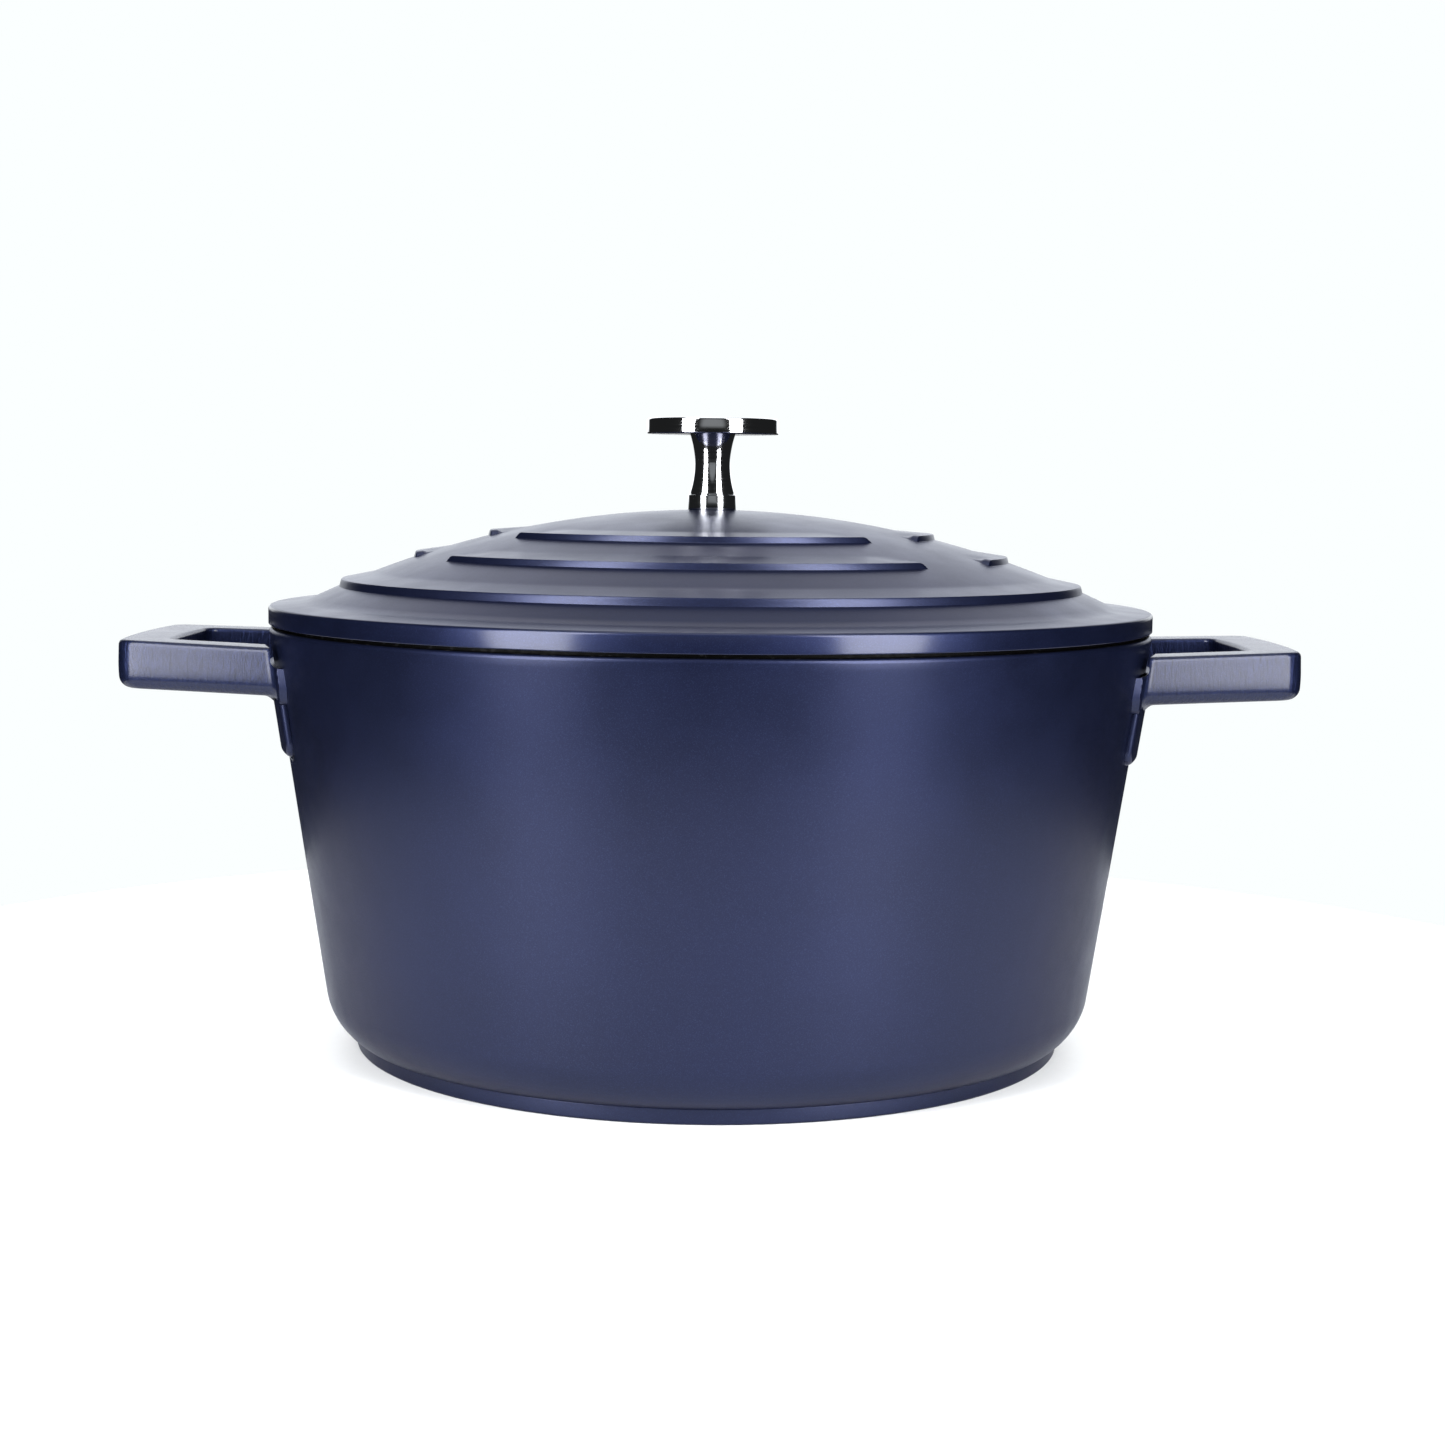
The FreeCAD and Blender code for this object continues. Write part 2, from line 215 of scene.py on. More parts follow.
def make_object(name, points, faces, materials):
    """A mesh object with outward faces, smooth except across edges over 30 degrees."""
    mesh = bpy.data.meshes.new(name)
    mesh.from_pydata([tuple(p) for p in points], [], faces)
    bm = bmesh.new()
    bm.from_mesh(mesh)
    bmesh.ops.recalc_face_normals(bm, faces=bm.faces)
    bm.to_mesh(mesh)
    bm.free()
    for material in materials:
        mesh.materials.append(material)
    piece = bpy.data.objects.new(name, mesh)
    bpy.context.scene.collection.objects.link(piece)
    smooth(piece)
    return piece


def smooth(piece, angle=30):
    mesh = piece.data
    mesh.polygons.foreach_set("use_smooth", [True] * len(mesh.polygons))
    mesh.set_sharp_from_angle(angle=math.radians(angle))


def turned(name, profile, materials, columns=96, closed=False):
    """A turned piece from a profile of points (r, z)."""
    angles = [TAU * i / columns for i in range(columns)]
    rows = [[p] if p[0] < 1e-9 else [p] * columns for p in profile]
    return make_object(name, *spin(rows, angles, closed), materials)


def combine(piece, others, operation):
    """Joins closed meshes into one, or cuts others out of it, and removes the others."""
    for other in others:
        modifier = piece.modifiers.new(operation.lower(), "BOOLEAN")
        modifier.object = other
        modifier.operation = operation
        modifier.solver = "EXACT"
    graph = bpy.context.evaluated_depsgraph_get()
    mesh = bpy.data.meshes.new_from_object(piece.evaluated_get(graph))
    piece.modifiers.clear()
    piece.data = mesh
    for other in others:
        bpy.data.objects.remove(other)
    smooth(piece)
    return piece


def paint(piece, choose):
    """Gives each face the material that choose(centre, normal) numbers."""
    for face in piece.data.polygons:
        face.material_index = choose(face.center, face.normal)


def finish_piece(piece, body, slot, *nodes):
    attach(piece, body)
    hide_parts(*nodes)
    return piece


# ---------------------------------------------------------------- material tools
class Shader:
    """A material under construction: short ways to add and link its nodes."""

    def __init__(self, name, **sockets):
        self.material = bpy.data.materials.new(name)
        self.material.use_nodes = True
        self.tree = self.material.node_tree
        self.bsdf = self.tree.nodes["Principled BSDF"]
        for socket, value in sockets.items():
            self.bsdf.inputs[socket.replace("_", " ")].default_value = value
        self.place = self.node("ShaderNodeTexCoord").outputs["Object"]

    def node(self, kind, **settings):
        made = self.tree.nodes.new(kind)
        for key, value in settings.items():
            setattr(made, key, value)
        return made

    def link(self, source, target):
        if isinstance(source, (int, float)):
            target.default_value = source
        else:
            self.tree.links.new(source, target)

    def math(self, operation, a, b=0.0, c=0.0):
        made = self.node("ShaderNodeMath", operation=operation)
        for value, socket in zip((a, b, c), made.inputs):
            self.link(value, socket)
        return made.outputs[0]

    def ramp(self, value, low, high, to_low=0.0, to_high=1.0):
        """value taken from low..high to to_low..to_high, held at the ends."""
        made = self.node("ShaderNodeMapRange")
        self.link(value, made.inputs["Value"])
        made.inputs["From Min"].default_value = low
        made.inputs["From Max"].default_value = high
        made.inputs["To Min"].default_value = to_low
        made.inputs["To Max"].default_value = to_high
        return made.outputs["Result"]

    def stretched(self, scales):
        """The object's coordinates with each axis scaled on its own."""
        made = self.node("ShaderNodeMapping")
        self.link(self.place, made.inputs["Vector"])
        made.inputs["Scale"].default_value = scales
        return made.outputs["Vector"]

    def noise(self, vector, scale, detail=2.0, roughness=0.5):
        made = self.node("ShaderNodeTexNoise")
        self.link(vector, made.inputs["Vector"])
        made.inputs["Scale"].default_value = scale
        made.inputs["Detail"].default_value = detail
        made.inputs["Roughness"].default_value = roughness
        return made.outputs["Fac"]

    def cells(self, scale):
        """A random number for each small cell."""
        made = self.node("ShaderNodeTexVoronoi")
        self.link(self.place, made.inputs["Vector"])
        made.inputs["Scale"].default_value = scale
        split = self.node("ShaderNodeSeparateColor")
        self.link(made.outputs["Color"], split.inputs["Color"])
        return split.outputs["Red"], split.outputs["Green"], made.outputs["Distance"]

    def radius(self):
        """Distance from the Z axis, as a coordinate along which turned rings vary."""
        split = self.node("ShaderNodeSeparateXYZ")
        self.link(self.place, split.inputs["Vector"])
        flat = self.node("ShaderNodeCombineXYZ")
        self.link(split.outputs["X"], flat.inputs["X"])
        self.link(split.outputs["Y"], flat.inputs["Y"])
        length = self.node("ShaderNodeVectorMath", operation="LENGTH")
        self.link(flat.outputs["Vector"], length.inputs[0])
        return length.outputs["Value"]

    def height(self):
        split = self.node("ShaderNodeSeparateXYZ")
        self.link(self.place, split.inputs["Vector"])
        return split.outputs["Z"]

    def line_noise(self, value, scale, detail=3.0):
        """Noise that varies along one number only."""
        made = self.node("ShaderNodeTexNoise", noise_dimensions="1D")
        self.link(value, made.inputs["W"])
        made.inputs["Scale"].default_value = scale
        made.inputs["Detail"].default_value = detail
        return made.outputs["Fac"]

    def mix(self, factor, a, b):
        made = self.node("ShaderNodeMix", data_type="RGBA")
        self.link(factor, made.inputs["Factor"])
        for value, socket in ((a, made.inputs["A"]), (b, made.inputs["B"])):
            if isinstance(value, tuple):
                socket.default_value = (*value, 1)
            else:
                self.link(value, socket)
        return made.outputs["Result"]

    def bump(self, height, distance, strength=1.0, under=None):
        made = self.node("ShaderNodeBump")
        made.inputs["Strength"].default_value = strength
        made.inputs["Distance"].default_value = distance
        self.link(height, made.inputs["Height"])
        if under is not None:
            self.link(under, made.inputs["Normal"])
        return made.outputs["Normal"]

    def set(self, socket, value):
        self.link(value, self.bsdf.inputs[socket])


NAVY = (0.0080, 0.0116, 0.0385)
NAVY_DEEP = (0.0066, 0.0097, 0.0315)
NAVY_FLAKE = (0.0168, 0.0250, 0.0700)
GRAZING_TINT = (0.35, 0.37, 0.45, 1)
FLECK = (0.16, 0.16, 0.17)
# Near-black fleck colour for the rim and seat coatings: painted shade for the tight gap between lid and pot.
GAP_SHADE_FLECK = (0.020, 0.020, 0.022)


def lacquer(name, roughness, coat, coat_roughness, turning=0.0, linished=0.0, rings=False):
    """Satin metallic lacquer: deep navy with fine flakes, over a turned, a linished or a smooth casting."""
    s = Shader(name, Metallic=0.8, Coat_Weight=coat, Coat_Roughness=coat_roughness, Coat_IOR=1.5,
               Specular_Tint=GRAZING_TINT)
    flake, second, _ = s.cells(5200)
    cloud = s.noise(s.place, 18, 3)
    body = s.mix(s.ramp(cloud, 0.3, 0.7), NAVY_DEEP, NAVY)
    s.set("Base Color", s.mix(s.ramp(flake, 0.72, 1.0, 0, 0.55), body, NAVY_FLAKE))
    normal = s.bump(s.noise(s.place, 700, 2), 0.006 * MM, 0.5)
    if turning:
        along = s.radius() if rings else s.height()
        lines = s.line_noise(along, 1400, 4)
        normal = s.bump(lines, turning, 1.0, normal)
    if linished:
        strokes = s.noise(s.stretched((900, 900, 180)), 1.0, 3, 0.6)
        normal = s.bump(strokes, linished, 1.0, normal)
    s.set("Normal", normal)
    worn = s.noise(s.place, 60, 4)
    s.set("Roughness", s.math("ADD", s.ramp(worn, 0.3, 0.7, -0.04, 0.05), s.ramp(second, 0, 1, roughness - 0.03, roughness + 0.03)))
    return s.material


def nonstick(name, fleck, gloss):
    """Dark non-stick coating with flecks of the given colour: light flecks for the real coating, near-black ones with
    low gloss for painted shade in the gap between lid and pot.
    """
    s = Shader(name, Specular_IOR_Level=gloss)
    speck, second, _ = s.cells(900)
    grain = s.noise(s.place, 1500, 3)
    base = s.mix(grain, tuple(0.05 * c for c in fleck), tuple(0.13 * c for c in fleck))
    s.set("Base Color", s.mix(s.ramp(speck, 0.93, 0.97, 0, 0.8), base, fleck))
    s.set("Roughness", s.ramp(second, 0, 1, 0.40, 0.55))
    s.set("Normal", s.bump(grain, 0.02 * MM, 0.6))
    return s.material


def steel(name, roughness, along, scale, depth, tint=(0.62, 0.61, 0.60)):
    """Bright steel with fine turned rings, along the axis or along the radius."""
    s = Shader(name, Metallic=1.0)
    value = s.radius() if along == "radius" else s.height()
    rings = s.line_noise(value, scale, 4)
    smear = s.noise(s.place, 150, 3)
    s.set("Base Color", s.mix(s.ramp(smear, 0.3, 0.7, 0, 1), tint, tuple(0.9 * c for c in tint)))
    s.set("Roughness", s.math("ADD", s.ramp(rings, 0.3, 0.7, -0.02, 0.03), s.ramp(smear, 0.2, 0.8, roughness - 0.01, roughness + 0.03)))
    s.set("Normal", s.bump(rings, depth))
    return s.material


def floor_material():
    s = Shader("floor", Specular_IOR_Level=0.3)
    grain = s.noise(s.place, 220, 3)
    s.set("Base Color", s.mix(grain, (0.86, 0.87, 0.87), (0.90, 0.91, 0.91)))
    s.set("Roughness", s.ramp(grain, 0.3, 0.7, 0.5, 0.6))
    return s.material


# ---------------------------------------------------------------- pot
def pot_shell(materials):
    """Foot, rounded bottom, tapered wall, rim, inside wall and floor, in one closed turned form."""
    slope = math.atan(WALL_SLOPE)
    centre_r = wall_radius(CORNER_TOP) - CORNER_RADIUS * math.cos(slope)
    centre_z = CORNER_TOP + CORNER_RADIUS * math.sin(slope)
    crease_r = centre_r + math.sqrt(CORNER_RADIUS**2 - (centre_z - FOOT_HEIGHT) ** 2)
    lowest = math.atan2(FOOT_HEIGHT - centre_z, crease_r - centre_r)
    corner = [
        (centre_r + CORNER_RADIUS * math.cos(a), centre_z + CORNER_RADIUS * math.sin(a))
        for a in evenly(lowest, -slope, 16)
    ]
    heights = evenly(CORNER_TOP, RIM_HEIGHT - 3 * RIM_ROUND, 16)[1:]
    inner_rim = RIM_RADIUS - WALL
    pocket = plate_high.x + PLATE_CLEARANCE
    profile = rounded([
        (0, plate_high.z),
        (pocket, plate_high.z),
        (pocket, 0, 0.25 * MM),
        (FOOT_RADIUS, 0, 0.8 * MM),
        (FOOT_RADIUS, FOOT_HEIGHT - 0.5 * MM, 0.3 * MM),
        (FOOT_RADIUS - CREASE_DEPTH, FOOT_HEIGHT - 0.3 * MM),
        (FOOT_RADIUS - CREASE_DEPTH, FOOT_HEIGHT),
    ] + corner + [(wall_radius(z), z) for z in heights] + [
        (RIM_RADIUS, RIM_HEIGHT, RIM_ROUND),
        (inner_rim, RIM_HEIGHT, 0.6 * MM),
        (wall_radius(0.75 * RIM_HEIGHT) - WALL, 0.75 * RIM_HEIGHT),
        (wall_radius(0.4 * RIM_HEIGHT) - WALL, 0.4 * RIM_HEIGHT),
        (wall_radius(FLOOR) - WALL, FLOOR, INNER_CORNER_RADIUS),
        (0.5 * FOOT_RADIUS, FLOOR),
        (0, FLOOR),
    ], 8)
    return turned("pot_body_look", profile, materials, 360)


def plan_line(reach, bow, end_half, root_half, corner_radius, corner_steps):
    """One half of a handle's outline in plan, from the middle of the bow to the root on the +Y side."""
    bow_radius = (end_half**2 + bow**2) / (2 * bow)
    angle = math.asin(end_half / bow_radius)
    sharp = Vector((reach - bow, end_half))
    root = Vector((HANDLE_ROOT_X, root_half))
    line = [
        (reach - bow_radius * (1 - math.cos(a)), bow_radius * math.sin(a))
        for a in evenly(0, angle * (1 - corner_radius / end_half), 10)
    ]
    rounding = rounded([line[-1], (*sharp, corner_radius), tuple(root)], corner_steps)
    line += rounding[1:-1]
    along = root - Vector(line[-1])
    shares = evenly(0, 0.6, 9)[1:] + evenly(0.6, 1.0, 61)[1:]
    return line + [tuple(Vector(line[-1]) + along * t) for t in shares]


def handle_section(width):
    """Points of the bar's cross section: (place across, height, outward normal), going round once."""
    radii = {"outer_low": 3.6 * MM, "inner_low": 1.6 * MM, "inner_high": 1.4 * MM, "outer_high": 1.8 * MM}
    corners = (
        ("outer_low", width, 0.0, 0),
        ("outer_high", width, HANDLE_THICKNESS, 1),
        ("inner_high", 0.0, HANDLE_THICKNESS, 2),
        ("inner_low", 0.0, 0.0, 3),
    )
    points = []
    for name, across, up, quarter in corners:
        radius = radii[name]
        centre_a = across - radius if across else radius
        centre_u = up - radius if up else radius
        for k in range(9):
            angle = -math.pi / 2 + math.pi / 2 * (quarter + k / 8)
            side, rise = math.cos(angle), math.sin(angle)
            points.append((centre_a + radius * side, centre_u + radius * rise, side, rise))
        if name == "outer_low":
            for up_side in evenly(radius, HANDLE_THICKNESS - radii["outer_high"], 12)[1:-1]:
                points.append((width, up_side, 1.0, 0.0))
    crowned = []
    for a, up, side, rise in points:
        below = max(CROWN_HEIGHT - up, 0.0) / CROWN_HEIGHT if side > 0 and a > width / 2 else 0.0
        crowned.append((a - CROWN_DEPTH * below * below, up, side, rise))
    return crowned


def handle(side, materials):
    """One loop handle: a rounded bar swept round the loop, growing into fillets where it meets the wall."""
    outer = plan_line(HANDLE_REACH, HANDLE_BOW, HANDLE_END_HALF_WIDTH, HANDLE_ROOT_HALF_WIDTH, HANDLE_CORNER, 12)
    inner = plan_line(GAP_REACH, HANDLE_BOW / 2, GAP_END_HALF_WIDTH, GAP_ROOT_HALF_WIDTH, GAP_CORNER, 12)
    halves = list(zip(inner, outer))
    stations = [((i[0], -i[1]), (o[0], -o[1])) for i, o in reversed(halves[1:])] + halves
    pivot_x = wall_radius(HANDLE_ROOT_Z)
    points, count = [], 0
    for near, far in stations:
        near, far = Vector(near), Vector(far)
        across = (far - near).normalized()
        section = handle_section((far - near).length)
        count = len(section)
        for a, up, side_out, rise_out in section:
            spot = near + across * a
            gap = math.hypot(*spot) - wall_radius(HANDLE_ROOT_Z + up) - PAD_PROUD * 0.5
            lean = min(max(ROOT_FILLET - gap, 0.0), ROOT_FILLET)
            grow = ROOT_FILLET - math.sqrt(ROOT_FILLET**2 - lean**2)
            spot = spot + across * side_out * grow
            up += min(rise_out, 0.0) * grow
            x = pivot_x + (spot.x - pivot_x) * math.cos(HANDLE_TILT) - up * math.sin(HANDLE_TILT)
            z = HANDLE_ROOT_Z + (spot.x - pivot_x) * math.sin(HANDLE_TILT) + up * math.cos(HANDLE_TILT)
            points.append((x * side, spot.y, z))
    faces = []
    for s in range(len(stations) - 1):
        for k in range(count):
            n = (k + 1) % count
            faces.append((s * count + k, s * count + n, (s + 1) * count + n, (s + 1) * count + k))
    faces.append(tuple(range(count)))
    faces.append(tuple(range(len(points) - count, len(points))))
    return make_object("handle", points, faces, materials)


def pad(side, materials):
    """The thickened patch of wall under a handle: a slab with rounded edges, bent round the wall and sunk into it."""
    corner, edge, sink = 5.0 * MM, 1.7 * MM, 2.0 * MM
    half, height = PAD_HALF_WIDTH, PAD_TOP - PAD_BOTTOM
    size = Matrix.Diagonal((2 * half, height, sink + PAD_PROUD, 1))
    place = Matrix.Translation((0, height / 2, (PAD_PROUD - sink) / 2))
    bm = bmesh.new()
    bmesh.ops.create_cube(bm, size=1, matrix=place @ size)
    lower = [e for e in bm.edges if all(v.co.y < MM for v in e.verts) and e.verts[0].co.z != e.verts[1].co.z]
    bmesh.ops.bevel(bm, geom=lower, offset=corner, segments=10, profile=0.5, affect="EDGES")
    front = [e for e in bm.edges
             if all(v.co.z > PAD_PROUD - 1e-6 for v in e.verts) and not all(v.co.y > height - 1e-6 for v in e.verts)]
    bmesh.ops.bevel(bm, geom=front, offset=edge, segments=6, profile=0.5, affect="EDGES")
    for u in evenly(-half, half, 61)[1:-1]:
        everything = bm.verts[:] + bm.edges[:] + bm.faces[:]
        bmesh.ops.bisect_plane(bm, geom=everything, plane_co=(u, 0, 0), plane_no=(1, 0, 0), dist=1e-7)
    for vert in bm.verts:
        u, v, proud = vert.co
        r = wall_radius(PAD_BOTTOM + v) + proud
        angle = math.asin(u / wall_radius(PAD_BOTTOM))
        vert.co = (side * r * math.cos(angle), r * math.sin(angle), PAD_BOTTOM + v)
    bmesh.ops.recalc_face_normals(bm, faces=bm.faces)
    mesh = bpy.data.meshes.new("pad")
    bm.to_mesh(mesh)
    bm.free()
    for material in materials:
        mesh.materials.append(material)
    piece = bpy.data.objects.new("pad", mesh)
    bpy.context.scene.collection.objects.link(piece)
    return piece


def make_pot():
    """The whole casting: shell, two handles and two pads, with the turned groove cut at the handles' roots."""
    wall = lacquer("lacquer_wall", 0.38, 0.26, 0.26, turning=0.010 * MM)
    coating = nonstick("nonstick", FLECK, 0.5)
    grips = lacquer("lacquer_handle", 0.42, 0.4, 0.2, linished=0.5 * MM)
    # The rim's top: its non-stick coating made near-black and nearly without gloss, which is painted shade for the
    # gap under the lid.
    edge = nonstick("rim_coating_and_gap_shade", GAP_SHADE_FLECK, 0.05)
    materials = (wall, coating, grips, edge)
    shell = pot_shell(materials)
    parts = []
    for side in (-1, 1):
        loop = handle(side, materials)
        groove = turned("groove", rounded([
            (RIM_RADIUS - 4 * MM, PAD_TOP), (GROOVE_RADIUS, PAD_TOP, 2.2 * MM),
            (GROOVE_RADIUS, RIM_HEIGHT + 5 * MM), (RIM_RADIUS - 4 * MM, RIM_HEIGHT + 5 * MM),
        ]), materials, 180, closed=True)
        combine(loop, [groove], "DIFFERENCE")
        parts += [loop, pad(side, materials)]
    combine(shell, parts, "UNION")

    def choose(centre, normal):
        r = math.hypot(centre.x, centre.y)
        inwards = normal.z > 0.5 or centre.x * normal.x + centre.y * normal.y < 0
        if inwards and centre.z > FLOOR - 0.2 * MM and r < wall_radius(centre.z) - WALL + 0.6 * MM:
            return 1
        # Rim top faces get the near-black coating: painted shade for the gap under the lid.
        if centre.z > RIM_HEIGHT - 0.1 * MM:
            return 3
        on_handle = r > wall_radius(centre.z) + PAD_PROUD + 0.3 * MM and centre.z > HANDLE_ROOT_Z - ROOT_FILLET
        return 2 if on_handle else 0

    paint(shell, choose)
    return finish_piece(shell, "pot", "pot_casting", "pot_body")


def make_plate():
    """Thin steel disc with rings of round holes."""
    rings, pitch, radius = 6, 15.0 * MM, 2.6 * MM
    bm = bmesh.new()

    def circle(x, y, r, count):
        verts = [bm.verts.new((x + r * math.cos(TAU * i / count), y + r * math.sin(TAU * i / count), plate_low.z))
                 for i in range(count)]
        for i in range(count):
            bm.edges.new((verts[i], verts[(i + 1) % count]))

    circle(0, 0, plate_high.x, 180)
    for ring in range(1, rings + 1):
        for i in range(6 * ring):
            angle = TAU * i / (6 * ring)
            circle(ring * pitch * math.cos(angle), ring * pitch * math.sin(angle), radius, 24)
    bmesh.ops.triangle_fill(bm, use_beauty=True, use_dissolve=False, edges=bm.edges[:])
    grown = bmesh.ops.extrude_face_region(bm, geom=bm.faces[:])
    top = [v for v in grown["geom"] if isinstance(v, bmesh.types.BMVert)]
    bmesh.ops.translate(bm, verts=top, vec=(0, 0, plate_high.z - plate_low.z))
    bmesh.ops.recalc_face_normals(bm, faces=bm.faces)
    mesh = bpy.data.meshes.new("induction_plate_look")
    bm.to_mesh(mesh)
    bm.free()
    mesh.materials.append(steel("plate_steel", 0.3, "radius", 1800, 0.012 * MM, (0.56, 0.56, 0.57)))
    plate = bpy.data.objects.new("induction_plate_look", mesh)
    bpy.context.scene.collection.objects.link(plate)
    return finish_piece(plate, "pot", "base_plate", "induction_plate")


# ---------------------------------------------------------------- lid
def soft_min(a, b, blend):
    gap = max(blend - abs(a - b), 0) / blend
    return min(a, b) - gap * gap * blend / 4


def ease(t):
    """0 below 0, 1 above 1, and a smooth rise between."""
    t = min(max(t, 0.0), 1.0)
    return t * t * (3 - 2 * t)


def lid_top(r, angle):
    """Height of the lid's upper surface, with its raised steps and the gaps that interrupt them."""
    z = dome_height(r)
    for inner, crest, crest_height, foot, interrupted in STEPS:
        if r < inner - 2 * MM or r > foot + 2 * MM:
            continue
        start = dome_height(inner)
        tread = start + max(r - inner, 0.0) * (crest_height - start) / (crest - inner)
        middle = (crest + foot) / 2
        riser = (crest_height + dome_height(foot)) / 2 - RISER_SLOPE * (r - middle)
        step = soft_min(tread, riser, STEP_BLEND)
        if interrupted:
            pitch = TAU / GAP_COUNT
            off = abs((angle - GAP_FIRST_ANGLE + pitch / 2) % pitch - pitch / 2)
            along = r * (off - GAP_HALF_ANGLE)
            behind_nose = (1 - ease(along / END_FADE)) * (1 - ease((r - crest) / NOSE_FADE + 1 + NOSE_FADE_START))
            tread += (dome_height(r) - tread) * behind_nose
            step = soft_min(tread, riser, STEP_BLEND)
            step = soft_min(step, crest_height + along, END_BLEND)
        lift = max(step - z, 0.0)
        z += lift * lift / (lift + HOLLOW_BLEND)
    return z


def lid_angles():
    """Column angles: every degree, and closer at the ends of the interrupted steps."""
    angles = {round(i / 360, 7) for i in range(360)}
    for gap in range(GAP_COUNT):
        for end in (-1, 1):
            middle = GAP_FIRST_ANGLE / TAU + gap / GAP_COUNT + end * (GAP_HALF_ANGLE - math.radians(0.9)) / TAU
            angles |= {round((middle + k * 0.26 / 360) % 1, 7) for k in range(-9, 10)}
    ordered = sorted(angles)
    kept = [a for a, b in zip(ordered, ordered[1:] + [ordered[0] + 1]) if b - a > 0.1 / 360]
    return [TAU * a for a in kept]


def lid_radii():
    """Radii of the dome's rings, close together at each step's crest and foot."""
    radii = set(evenly(HUB_RADIUS, DOME_FOOT_RADIUS, 56))
    for inner, crest, crest_height, foot, interrupted in STEPS:
        radii = {r for r in radii if not crest - 1.4 * MM < r < foot + 1.2 * MM}
        radii |= set(evenly(crest - 1.4 * MM, foot + 1.2 * MM, 28))
        radii |= {inner - MM, inner, inner + MM}
    ordered = sorted(radii)
    return [a for a, b in zip(ordered, ordered[1:] + [1]) if b - a > 0.1 * MM]


def drip_bumps(materials):
    """Low round bumps under the lid."""
    bm = bmesh.new()
    for ring, count in DRIP_RINGS:
        for i in range(count):
            angle = TAU * i / count
            z = dome_height(ring, LID_WALL) + DRIP_RADIUS - DRIP_PROUD
            made = bmesh.ops.create_uvsphere(
                bm, u_segments=24, v_segments=16, radius=DRIP_RADIUS,
                matrix=Matrix.Translation((ring * math.cos(angle), ring * math.sin(angle), z)))
            for vert in made["verts"]:
                vert.co.z = min(vert.co.z, dome_height(math.hypot(vert.co.x, vert.co.y), LID_WALL) + MM)
    bmesh.ops.dissolve_degenerate(bm, dist=1e-6, edges=bm.edges[:])
    mesh = bpy.data.meshes.new("lid_drip_bumps")
    bm.to_mesh(mesh)
    bm.free()
    for material in materials:
        mesh.materials.append(material)
    bumps = bpy.data.objects.new("lid_drip_bumps", mesh)
    bpy.context.scene.collection.objects.link(bumps)
    smooth(bumps)
    return bumps


def make_lid():
    top = lacquer("lacquer_lid", 0.38, 0.34, 0.30, turning=0.004 * MM, rings=True)
    band = lacquer("lacquer_band", 0.38, 0.42, 0.16, turning=0.006 * MM)
    coating = nonstick("nonstick", FLECK, 0.5)
    angles = lid_angles()
    hub_z = dome_height(HUB_RADIUS)
    inner_hub_z = dome_height(INNER_HUB_RADIUS, LID_WALL)
    outer = rounded([
        (DOME_FOOT_RADIUS + 3 * MM, BAND_TOP + 0.95 * MM),
        (RIM_RADIUS, BAND_TOP, BAND_ROUND),
        (RIM_RADIUS, BAND_BOTTOM, 0.35 * MM),
        (SEAT_OUTER, BAND_BOTTOM),
        (SEAT_OUTER, RIM_HEIGHT),
        (LOCATOR_OUTER, RIM_HEIGHT),
        (LOCATOR_OUTER, lid_low.z, 1.0 * MM),
        (LOCATOR_INNER, lid_low.z, 1.0 * MM),
        (LOCATOR_INNER, dome_height(LOCATOR_INNER, LID_WALL)),
    ])
    under = [(r, dome_height(r, LID_WALL)) for r in evenly(LOCATOR_INNER, INNER_HUB_RADIUS, 30)[1:]]
    rows = [[(CLEARANCE_HOLE_RADIUS, hub_z)] * len(angles)]
    rows += [[(r, lid_top(r, a)) for a in angles] for r in lid_radii()]
    rows += [[p] * len(angles) for p in outer + under]
    rows += [[(CLEARANCE_HOLE_RADIUS, inner_hub_z)] * len(angles)]
    # The band's underside and seat: near-black and nearly without gloss, which is painted shade for the gap between
    # lid and pot.
    edge = nonstick("seat_coating_and_gap_shade", GAP_SHADE_FLECK, 0.05)
    lid = make_object("lid_look", *spin(rows, angles, True), (top, coating, band, edge))

    def choose(centre, normal):
        r = math.hypot(centre.x, centre.y)
        if r > RIM_RADIUS - 0.5 * MM and centre.z < BAND_TOP:
            return 2
        if r < LOCATOR_OUTER and centre.z < dome_height(r, LID_WALL / 2):
            return 1
        # Faces below the band's bottom edge get the near-black coating: painted shade in the gap between lid and pot.
        return 3 if centre.z < BAND_BOTTOM + 0.1 * MM else 0

    paint(lid, choose)
    finish_piece(lid, "lid", "lid_casting", "lid")
    bumps = drip_bumps((coating,))
    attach(bumps, "lid")


